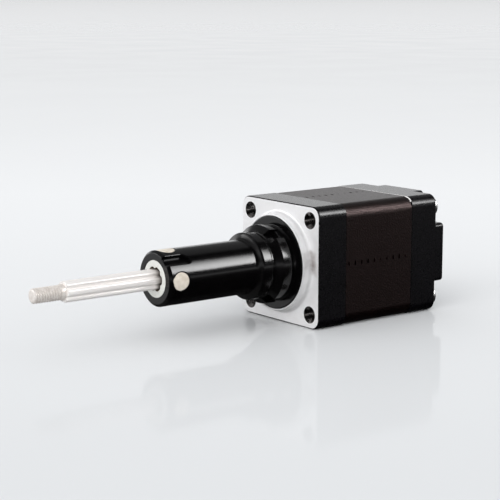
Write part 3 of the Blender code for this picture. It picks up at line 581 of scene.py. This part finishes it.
def add_front_bell():
    """Square flange with its pilot boss and four threaded holes."""
    bell = prism("front_bell", [(0, FRONT_BELL_END), (0, -FACE_CHAMFER - 0.04),
                                (0.02, -FACE_CHAMFER + 0.03), (FACE_CHAMFER - 0.03, -0.02),
                                (FACE_CHAMFER + 0.03, 0)], HALF, BELL_CORNER)
    foot = arc((BOSS_RADIUS + BOSS_FOOT, BOSS_FOOT), BOSS_FOOT, 180, 270, 12)
    boss = [(0, BOSS_TOP), *arc((BOSS_RADIUS - 0.12, BOSS_TOP - 0.12), 0.12, 90, 0, 4), *foot,
            (BOSS_RADIUS + BOSS_FOOT, -1), (0, -1)]
    combine(bell, revolve("boss_tool", boss, 144, closed=False), "UNION")
    lead_in, throat = BOSS_RECESS + 0.08, 4.06
    recess_floor, seat_start, seat_end, coil_floor = 0.55, -1.5, -4.9, -3.9
    hollow = [(0, 3), (lead_in, 3), (lead_in, BOSS_TOP + 0.02), (BOSS_RECESS, BOSS_TOP - 0.08),
              (BOSS_RECESS, recess_floor), (throat, recess_floor), (throat, seat_start),
              (BEARING_SEAT, seat_start), (BEARING_SEAT, seat_end), (SEAT_COLLAR, seat_end),
              (SEAT_COLLAR, coil_floor), (COIL_ROOM, coil_floor), (COIL_ROOM, -7), (0, -7)]
    combine(bell, revolve("hollow_tool", hollow, 144, closed=False))
    sunk, thread_end = THREAD_RIM - THREAD_ROOT, -2.9
    hole = [(0, 1), (THREAD_RIM + 0.04, 1), (THREAD_RIM + 0.04, 0.01), (THREAD_RIM - 0.03, -0.04),
            *[(THREAD_ROOT, z) for z in steps_between(-sunk, thread_end, THREAD_PITCH / 8)],
            (THREAD_ROOT, -7), (0, -7)]
    cutting = threaded(THREAD_CREST, THREAD_ROOT, THREAD_PITCH, thread_end, 0.05 - sunk)
    for x, y in corner_places():
        tool = revolve("thread_tool", hole, 36, closed=False, shape=cutting)
        combine(bell, moved(tool, Matrix.Translation((x, y, 0))))

    def part(centre, normal):
        in_hole = min(math.hypot(centre.x - x, centre.y - y) for x, y in corner_places())
        if in_hole < THREAD_RIM + 0.06 and max(abs(normal.x), abs(normal.y)) > 0.05:
            return 2
        return 0 if centre.z > -0.012 or abs(centre.x) + abs(centre.y) < 8 else 1
    return finish_piece(bell, "motor", ["front_end_bell"],
                        [machined, coat, cut_thread], part, 28)


def add_stator():
    """Lamination stack: a finely rounded skin on the real poles, with rows of interlock marks."""
    inner = 0.35                # thickness of the skin
    stack = prism("stator", [(0.03, STACK_REAR), (0, STACK_REAR + 0.04), (0, STACK_FRONT - 0.04),
                             (0.03, STACK_FRONT)], HALF, STACK_CORNER)
    room = prism("room_tool", [(inner, STACK_REAR - 1), (inner, STACK_FRONT + 1)], HALF, STACK_CORNER)
    combine(stack, room)
    middle = (STACK_FRONT + STACK_REAR) / 2
    for side in range(4):
        shift = DIMPLE_SHIFT[side % 2]
        for index in range(DIMPLES):
            z = middle + DIMPLE_FORWARD + (index - (DIMPLES - 1) / 2) * DIMPLE_PITCH
            faint = 0.6 if index in (0, 3, 4) else 1.0
            deep, wide, long = 0.2 * faint, 0.34 * faint, 0.20 * faint
            mark = box("mark_tool", (HALF - deep, shift - wide, z - long),
                       (HALF + 1, shift + wide, z + long))
            combine(stack, moved(mark, Matrix.Rotation(side * TURN / 4, 4, "Z")))
    core = new_object("core_tool", frame["nodes"]["stator_stack"].data.copy())
    core.data.transform(TO_WORLD.inverted())
    work = bmesh.new()
    work.from_mesh(core.data)
    bmesh.ops.remove_doubles(work, verts=work.verts, dist=1e-4)
    work.to_mesh(core.data)
    work.free()
    combine(core, prism("trim_tool", [(inner - 0.1, STACK_REAR - 1), (inner - 0.1, STACK_FRONT + 1)],
                        HALF, STACK_CORNER), "INTERSECT")
    combine(stack, core, "UNION")
    return finish_piece(stack, "motor", ["stator_stack"], [laminations])


def add_rear_bell():
    """Rear casting with a cross-shaped block, screw pockets and the lead outlet."""
    spare = 2.0                 # trimmed away after the edges are rounded
    bell = prism("rear_bell", [(0, BLOCK_END), (0, REAR_BELL_START + spare)], HALF, BELL_CORNER)
    near, far, corner = BLOCK_HALF, HALF, 0.4
    pocket = [(near, near), (far - corner, near), (far + corner, near - 2 * corner),
              (far + 2, near - 2 * corner), (far + 2, far + 2), (near - 2 * corner, far + 2),
              (near - 2 * corner, far + corner), (near, far - corner)]
    for quarter in range(4):
        tool = extruded("pocket_tool", pocket, BLOCK_END - 1, REAR_BELL_END)
        combine(bell, moved(tool, Matrix.Rotation(TURN * quarter / 4, 4, "Z")))
    round_edges(bell, 0.24, 40, 4)
    combine(bell, box("trim_tool", (-12, -12, REAR_BELL_START), (12, 12, REAR_BELL_START + 5)))
    rim_width = 0.15                 # width of the front edge step, whose top gets the painted highlight
    rim = prism("rim_tool", [(-2, REAR_BELL_START - rim_width), (-2, REAR_BELL_START + 1)], HALF, BELL_CORNER)
    combine(rim, prism("rim_core", [(-0.01, REAR_BELL_START - rim_width - 0.01), (rim_width, REAR_BELL_START + 0.001),
                                    (rim_width, REAR_BELL_START + 2)], HALF, BELL_CORNER))
    combine(bell, rim)
    coil_floor, seat_start, seat_end, throat, plug_floor = -23.4, -21.2, -25.2, 2.4, -26.5
    hollow = [(0, -19), (COIL_ROOM, -19), (COIL_ROOM, coil_floor), (SEAT_COLLAR, coil_floor),
              (SEAT_COLLAR, seat_start), (BEARING_SEAT, seat_start), (BEARING_SEAT, seat_end),
              (throat, seat_end), (throat, plug_floor), (PLUG_SEAT, plug_floor),
              (PLUG_SEAT, BLOCK_END + 0.1), (PLUG_SEAT + 0.1, BLOCK_END), (PLUG_SEAT + 0.1, -29),
              (0, -29)]
    combine(bell, revolve("hollow_tool", hollow, 96, closed=False))
    screw_hole = 1.15
    for x, y in corner_places():
        hole = revolve("screw_hole_tool", [(0, -19), (screw_hole, -19), (screw_hole, -27), (0, -27)],
                       32, closed=False)
        combine(bell, moved(hole, Matrix.Translation((x, y, 0))))
    combine(bell, box("outlet_tool", (-11, -3.0, -24.0), (-7.5, 3.0, -21.4)))

    # painted highlight: only the top of the front rim is painted near-white, the rest keeps the black coat
    def part(centre, normal):
        return 0 if centre.z > REAR_BELL_START - rim_width - 0.01 and centre.y > HALF - BELL_CORNER / 2 else 1
    return finish_piece(bell, "motor", ["rear_end_bell"], [painted_rim_highlight, coat], part)


def add_case_screws():
    """Pan heads with a hexagon socket."""
    seat, shank, head_radius, crown, hexagon = REAR_BELL_END - 0.03, 0.93, 1.8, 1.5, 0.92
    head = soften([(shank, seat), (head_radius, seat), (head_radius, SCREW_REAR + 0.28),
                   (crown, SCREW_REAR), (0.9, SCREW_REAR)], 0.12, 3, closed=False)
    outline = [(0, SCREW_FRONT), (0.7, SCREW_FRONT), (shank, SCREW_FRONT - 0.3), *head, (0, SCREW_REAR)]
    socket_outline = [(0, SCREW_REAR - 1), (hexagon, SCREW_REAR - 1), (hexagon, SCREW_REAR - 0.01),
                      (0.8, SCREW_REAR + 0.08), (0.8, SCREW_REAR + 0.6), (0, SCREW_REAR + 0.75)]
    for index, (x, y) in enumerate(corner_places()):
        screw = revolve(f"case_screw_{index + 1}_looks", outline, 48, closed=False)
        combine(screw, revolve("socket_tool", socket_outline, 6, closed=False))
        moved(screw, Matrix.Translation((x, y, 0)))
        finish_piece(screw, "motor", [f"case_screw_{index + 1}"], [zinc])


def add_outlet_and_plug():
    """Grommet with its four lead holes, and the cover of the rear opening."""
    half_height, leads, lead_pitch, lead_radius, lead_mouth = 2.95, 4, 1.3, 0.4, 0.55
    grommet = box("grommet", (-HALF + 0.03, -half_height, GROMMET_REAR),
                  (-8.3, half_height, GROMMET_FRONT))
    round_edges(grommet, 0.22, 40, 3)
    hole = [(0, -3), (lead_radius, -3), (lead_radius, 0.1), (lead_mouth, 0.45), (lead_mouth, 3), (0, 3)]
    for index in range(leads):
        lead = revolve("lead_tool", hole, 20, closed=False)
        lay = Matrix.Translation((-HALF + 0.4, (index - (leads - 1) / 2) * lead_pitch,
                                  (GROMMET_REAR + GROMMET_FRONT) / 2))
        combine(grommet, moved(lead, lay @ Matrix.Rotation(-TURN / 4, 4, "Y")))
    finish_piece(grommet, "motor", ["lead_grommet"], [rubber])
    cover = soften([(0, PLUG_FRONT), (PLUG_RADIUS, PLUG_FRONT), (PLUG_RADIUS, PLUG_REAR),
                    (2.9, PLUG_REAR), (2.8, PLUG_REAR + 0.12), (0.9, PLUG_REAR + 0.12),
                    (0.7, PLUG_REAR + 0.3), (0, PLUG_REAR + 0.3)], 0.08, 3, closed=False)
    plug = revolve("rear_cover", cover, 72, closed=False)
    finish_piece(plug, "motor", ["rear_plug"], [plug_plastic])


# ---------------------------------------------------------------- guide

def add_flange():
    """Disc in the pilot boss, with a slotted collar round the sleeve's foot."""
    collar, disc, spigot, bore, socket = 6.48, 7.66, 4.0, 3.1, 5.52
    disc_front, disc_rear, socket_floor = 1.57, 0.62, 1.85
    waist = [(collar, 2.55), (6.33, 2.4), (6.15, 2.35), (6.05, 1.9), (6.25, disc_front)]
    outline = [(5.55, FLANGE_FRONT), (collar, 4.26), *waist, (disc - 0.1, disc_front),
               (disc, disc_front - 0.1), (disc, disc_rear), (spigot, disc_rear), (spigot, FLANGE_REAR),
               (bore, FLANGE_REAR), (bore, socket_floor), (socket, socket_floor), (socket, FLANGE_FRONT)]
    flange = revolve("flange", soften(outline, 0.09), 160)
    half_slot = 1.05
    for angle in SLOT_ANGLES:
        slot = box("slot_tool", (4.5, -half_slot, socket_floor + 0.1), (8, half_slot, 6))
        combine(flange, moved(slot, Matrix.Rotation(math.radians(angle), 4, "Z")))
    round_edges(flange, 0.08, 55)
    return finish_piece(flange, "motor", ["bayonet_flange"], [flange_plastic])


def peg_outline(around, index):
    """Radius of a peg's slightly uneven edge, with a small nub of flash on one."""
    uneven = 0.012 * np.cos(3 * around + index) + 0.008 * np.cos(5 * around + 2 * index)
    nub = 0.13 * np.exp(-((around - math.radians(14)) / 0.22) ** 2) if index == 0 else 0
    return PEG_RADIUS + uneven + nub


def groove_outline():
    """Hooked groove, across and along the tube, open at the mouth."""
    turn, beyond = 0.62, SLEEVE_FRONT + 1.13
    return [(-0.9, beyond), (-0.95, 21.5), *arc((-0.35, 20.9), turn, 190, 300, 10),
            *arc((0.25, 21.6), turn, 320, 360, 5), (0.88, beyond)]


def add_sleeve():
    """Guide tube with a hooked groove and four round openings for the bush's pegs."""
    spacing, fine_from = 0.065, 19.9        # rows of the finely made front part
    opening_floor, key_half = 2.95, 0.98
    foot = [(5.15, 7.62), *arc((5.19, 7.25), 0.3, 75, 0, 6), (5.49, 5.75), (5.4, 5.6),
            (5.25, 5.55), (5.25, 5.1), (5.45, 5.02), (5.45, SLEEVE_REAR), (TUBE_BORE, SLEEVE_REAR)]
    seat = BUSH_RADIUS + 0.03
    body = soften([(MOUTH_RADIUS, SLEEVE_FRONT), (TUBE_RADIUS, SLEEVE_FRONT - MOUTH_CHAMFER),
                   (TUBE_RADIUS, 8.3), (4.5, 8.02), (4.74, 7.8), *foot, (TUBE_BORE, BUSH_REAR - 0.05),
                   (seat, BUSH_REAR - 0.05), (seat, SLEEVE_FRONT)], 0.08)
    start = max(i for i, (r, z) in enumerate(body) if z > 20 and r > TUBE_RADIUS - 0.01)
    rows = [(TUBE_RADIUS, z) for z in steps_between(body[start][1], fine_from, spacing)[1:]]
    outline = body[:start + 1] + rows + body[start + 1:]
    groove = groove_outline()

    def shape(angle, radius, z):
        """Sinks the groove and the openings, with grid lines pulled onto their edges."""
        on = (radius > GROOVE_FLOOR + 0.08) & (z > fine_from + 0.05)
        turned = (angle - GROOVE_ANGLE + math.pi) % TURN - math.pi
        for index in range(PEGS + 1):
            if index < PEGS:
                across = ((angle - TURN * index / PEGS + math.pi) % TURN - math.pi) * TUBE_RADIUS

                def distance(s, h, index=index):
                    return np.hypot(s, h - PEG_Z) - peg_outline(np.arctan2(s, h - PEG_Z), index) - 0.03
            else:
                across = turned * TUBE_RADIUS

                def distance(s, h):
                    return inside_distance(groove, s, h)
            away = distance(across, z)
            e = 0.01
            slope_s = (distance(across + e, z) - away) / e
            slope_z = (distance(across, z + e) - away) / e
            near = on & (np.abs(away) < spacing * 0.55) & (z < SLEEVE_FRONT - MOUTH_CHAMFER - 0.08)
            angle = np.where(near, angle - away * slope_s / TUBE_RADIUS, angle)
            z = np.where(near, z - away * slope_z, z)
            away = np.where(near, 0.0, away)
            floor = GROOVE_FLOOR if index == PEGS else opening_floor
            edge = 0.10 * np.clip(1 - away / 0.16, 0, 1) ** 2
            radius = np.where(on & (away > -0.004), radius - edge, radius)
            radius = np.where(on & (away <= -0.004), np.minimum(radius, floor), radius)
        return angle, radius, z

    sleeve = revolve("sleeve", outline, 420, shape=shape)
    for angle in SLOT_ANGLES:
        key = round_edges(box("key", (4.6, -key_half, 2.05), (6.1, key_half, 3.1)), 0.08)
        add_mesh(sleeve, moved(key, Matrix.Rotation(math.radians(angle), 4, "Z")))
    return finish_piece(sleeve, "motor", ["captive_sleeve"], [sleeve_plastic],
                        crease=50)


def add_bush():
    """White bush with its splined bore and four pegs through the sleeve."""
    bore, mouth, sunk, peg_root = 1.7, 2.0, 0.40, -1.5
    outline = soften([(BUSH_RADIUS, BUSH_FRONT), (BUSH_RADIUS, BUSH_REAR), (bore, BUSH_REAR),
                      (bore, BUSH_FRONT - sunk), (mouth, BUSH_FRONT)], 0.05)

    def splined(angle, radius, z):
        fit = spline_radius(angle, SPLINE_CREST + SLIDE_GAP, SPLINE_ROOT + BUSH_GROOVE_GAP)
        return angle, np.where(radius < 2, radius - bore + fit, radius), z
    bush = revolve("bush", outline, 180, shape=splined)
    for index in range(PEGS):
        rows = [(r, 0.0) for r in steps_between(0.0, PEG_RADIUS - 0.1, 0.12)]
        rows += [(PEG_RADIUS - 0.04, -0.012), (PEG_RADIUS, -0.05), (PEG_RADIUS, peg_root), (0, peg_root)]

        def lay_on_tube(angle, radius, z, index=index):
            radius = radius * peg_outline(angle, index) / PEG_RADIUS
            uneven = 0.010 * np.cos(2.1 * radius * np.cos(angle) + index) * (z > -1)
            return angle, radius, z + uneven + 0.004
        peg = revolve("peg", rows, 64, closed=False, shape=lay_on_tube)
        for vertex in peg.data.vertices:
            forward, across, lift = vertex.co
            vertex.co = (math.sqrt(TUBE_RADIUS ** 2 - across ** 2) + lift, across, PEG_Z + forward)
        add_mesh(bush, moved(peg, Matrix.Rotation(TURN * index / PEGS, 4, "Z")))

    def part(centre, normal):
        out = math.hypot(centre.x, centre.y)
        if out > BUSH_RADIUS + 0.1:
            return 1
        # the bore and its sunk mouth get the painted shade
        return 2 if out < mouth and centre.z < BUSH_FRONT - 0.02 else 0
    return finish_piece(bush, "motor", ["spline_bush"],
                        [bush_white, peg_cream, bore_painted_shade], part)


def add_rod():
    """Splined rod with its shoulder, threaded tip and the turned rear end."""
    dome, corner, neck, splines_end = 0.42, 0.2, SHOULDER + 0.5, COLLAR_FRONT + 0.03
    journal, socket, socket_end = 1.15, 0.73, 18.6
    outline = [(0, TIP_END), *arc((TIP_CREST - dome, TIP_END - dome), dome, 90, 0, 8)]
    outline += [(TIP_CREST, z) for z in steps_between(TIP_END - dome, neck, TIP_PITCH / 10)[1:-1]]
    outline += [(TIP_NECK, neck), (TIP_NECK, SHOULDER)]
    outline += arc((SPLINE_CREST - corner, SHOULDER - corner), corner, 90, 0, 6)
    outline += [(SPLINE_CREST, z) for z in steps_between(SHOULDER - corner, splines_end, 2.0)[1:]]
    outline += [(journal, splines_end), (journal, ROD_REAR), (socket, ROD_REAR), (socket, socket_end),
                (0, socket_end)]
    tip = threaded(TIP_CREST, TIP_ROOT, TIP_PITCH, neck, TIP_END - 0.2)

    def shape(angle, radius, z):
        angle, radius, z = tip(angle, radius, z)
        splined = (z <= SHOULDER) & (z >= splines_end - 0.001)
        fit = spline_radius(angle, SPLINE_CREST, SPLINE_ROOT)
        return angle, np.where(splined, np.minimum(radius, fit), radius), z
    rod = revolve("rod", outline, 144, closed=False, shape=shape)

    def part(centre, normal):
        return 1 if centre.z > SHOULDER + 0.05 else 0
    return finish_piece(rod, "shaft", ["spline_shaft"], [rod_steel, tip_steel], part)


# ---------------------------------------------------------------- inner pieces

def paint_inner_pieces():
    """The CAD solids inside keep their shapes and get a finish each."""
    by_slot = {"coil_insulation": tan_frame, "terminal_board": board_green,
               "bearing_steel": ground_steel, "spring_steel": spring_strip,
               "rotor_steel": turned_steel, "rotor_laminations": rotor_iron,
               "rotor_magnet": magnet_skin, "nut_acetal": nut_white, "screw_steel": turned_steel,
               "collar_brass": turned_brass, "coil_wire": enamelled_wire}
    for part in frame["record"]["subparts"]:
        obj = frame["nodes"][part["node"]]
        if obj.hide_render:
            continue
        for slot in obj.material_slots:
            slot.link = "OBJECT"
            slot.material = by_slot[part["material_slot"]].material


# ---------------------------------------------------------------- setting

CAMERA_AZIMUTH, CAMERA_ELEVATION, CAMERA_DISTANCE = 52.175, 9.929, 0.25113
CAMERA_TARGET = (-0.007922, FACE_Y, 0.01079)
CAMERA_LENS = 107.14


def direction(azimuth, elevation):
    """Azimuth 0 is towards -Y and 90 towards +X, in degrees."""
    a, e = math.radians(azimuth), math.radians(elevation)
    return Vector((math.sin(a) * math.cos(e), -math.cos(a) * math.cos(e), math.sin(e)))


def add_camera():
    data = bpy.data.cameras.new("camera")
    data.lens, data.sensor_width = CAMERA_LENS, 36.0
    data.clip_start, data.clip_end = 0.01, 200.0
    camera = new_object("camera", data)
    back = direction(CAMERA_AZIMUTH, CAMERA_ELEVATION)
    camera.location = Vector(CAMERA_TARGET) + back * CAMERA_DISTANCE
    camera.rotation_euler = back.to_track_quat("Z", "Y").to_euler()
    bpy.context.scene.camera = camera


def plate(name, width, depth):
    corners = [(-width / 2, -depth / 2, 0), (width / 2, -depth / 2, 0), (width / 2, depth / 2, 0),
               (-width / 2, depth / 2, 0)]
    return mesh_object(name, corners, [(0, 1, 2, 3)])


def add_floor():
    width = 120.0
    floor = plate("floor", width, width)
    look = Look("pale_floor", IOR=1.15, Specular_IOR_Level=0.135)
    look.colour(look.ramp(look.noise(0.001, 1), (0.3, (0.692, 0.699, 0.704)), (0.7, (0.696, 0.703, 0.708))))
    look.roughness(look.spread(look.noise(0.02, 2), 0.06, 0.09))
    floor.data.materials.append(look.material)
    floor.visible_glossy = False


def only_in_reflections(obj):
    """Hides a stage object from everything but glossy reflections."""
    obj.visible_camera = obj.visible_diffuse = obj.visible_shadow = False
    obj.visible_transmission = False


def glowing(name):
    """A material that only shines, with its nodes, links and emission node."""
    material = bpy.data.materials.new(name)
    material.use_nodes = True
    nodes, links = material.node_tree.nodes, material.node_tree.links
    nodes.remove(nodes["Principled BSDF"])
    glow = nodes.new("ShaderNodeEmission")
    links.new(glow.outputs[0], nodes["Material Output"].inputs["Surface"])
    return material, nodes, links, glow


def smooth_step(nodes, links, source, start, end, low, high):
    """Goes smoothly from low to high as the source goes from start to end."""
    made = nodes.new("ShaderNodeMapRange")
    made.interpolation_type = "SMOOTHSTEP"
    for socket, value in zip(made.inputs[1:5], (start, end, low, high)):
        socket.default_value = value
    links.new(source, made.inputs[0])
    return made.outputs[0]


def add_card(name, azimuth, elevation, width, height, strength, fade):
    """A soft box that shows only in reflections, brightest at its lower edge."""
    far = 1.3
    card = plate(name, width, height)
    towards = direction(azimuth, elevation)
    card.location = Vector(CAMERA_TARGET) + towards * far
    card.rotation_euler = towards.to_track_quat("Z", "Y").to_euler()
    material, nodes, links, glow = glowing(name)
    place, parts = nodes.new("ShaderNodeTexCoord"), nodes.new("ShaderNodeSeparateXYZ")
    links.new(place.outputs["Object"], parts.inputs[0])
    level = smooth_step(nodes, links, parts.outputs[1], fade - height / 2, height / 2, strength, 0.0)
    links.new(level, glow.inputs["Strength"])
    card.data.materials.append(material)
    only_in_reflections(card)


def add_sun(name, azimuth, elevation, strength, spread):
    """A broad light for matt surfaces, left out of reflections."""
    light = bpy.data.lights.new(name, "SUN")
    light.energy, light.angle = strength, math.radians(spread)
    sun = new_object(name, light)
    sun.rotation_euler = direction(azimuth, elevation).to_track_quat("Z", "Y").to_euler()
    sun.visible_glossy = False


def add_surround():
    """A dome seen only in reflections: bright on the left, dark on the right and overhead."""
    far = 55.0
    shape = bmesh.new()
    bmesh.ops.create_uvsphere(shape, u_segments=64, v_segments=32, radius=far)
    mesh = bpy.data.meshes.new("surround")
    shape.to_mesh(mesh)
    shape.free()
    dome = new_object("surround", mesh)
    material, nodes, links, glow = glowing("surround")

    def fall(source, start, end, low, high):
        return smooth_step(nodes, links, source, start, end, low, high)

    def maths(operation, *sources):
        made = nodes.new("ShaderNodeMath")
        made.operation = operation
        for socket, source in zip(made.inputs, sources):
            links.new(source, socket)
        return made.outputs[0]
    place, unit = nodes.new("ShaderNodeTexCoord"), nodes.new("ShaderNodeVectorMath")
    unit.operation = "NORMALIZE"
    links.new(place.outputs["Object"], unit.inputs[0])
    parts = nodes.new("ShaderNodeSeparateXYZ")
    links.new(unit.outputs[0], parts.inputs[0])
    x, y, z = parts.outputs
    height = maths("ABSOLUTE", z)
    sides = maths("MAXIMUM", fall(x, -0.15, 0.05, 1.0, 0.03), fall(height, 0.02, 0.07, 1.0, 0.0))
    band = maths("MULTIPLY", fall(height, 0.04, 0.17, 0.77, 1.35), fall(height, 0.20, 0.42, 1.0, 0.16))
    below = maths("MAXIMUM", fall(z, -0.25, -0.05, 0.07, 1.0), fall(y, -0.2, 0.2, 0.42, 0.0))
    glow.inputs["Color"].default_value = (0.985, 0.99, 1.0, 1.0)
    links.new(maths("MULTIPLY", maths("MULTIPLY", sides, band), below), glow.inputs["Strength"])
    mesh.materials.append(material)
    only_in_reflections(dome)


def add_world():
    """Even pale surroundings, so that the picture is the same all round."""
    world = bpy.data.worlds.new("studio")
    bpy.context.scene.world = world
    world.use_nodes = True
    background = world.node_tree.nodes["Background"]
    background.inputs["Color"].default_value = (0.785, 0.80, 0.82, 1.0)


def add_lights():
    add_sun("overhead", 100, 72, 0.25, 110)
    add_sun("from_right", 70, 30, 0.5, 90)
    add_sun("from_front", 22, 25, 1.5, 60)
    add_card("side_soft_box", 133, 36.5, 0.40, 0.90, 14.0, 0.10)
    add_card("front_soft_box", -45, 24, 0.70, 0.40, 4.0, 0.10)
    add_surround()
    add_world()


def main():
    add_camera()
    add_floor()
    add_lights()
    bpy.context.scene.view_settings.view_transform = "Standard"
    add_front_bell()
    add_stator()
    add_rear_bell()
    add_case_screws()
    add_outlet_and_plug()
    add_flange()
    add_sleeve()
    add_bush()
    add_rod()
    paint_inner_pieces()


main()
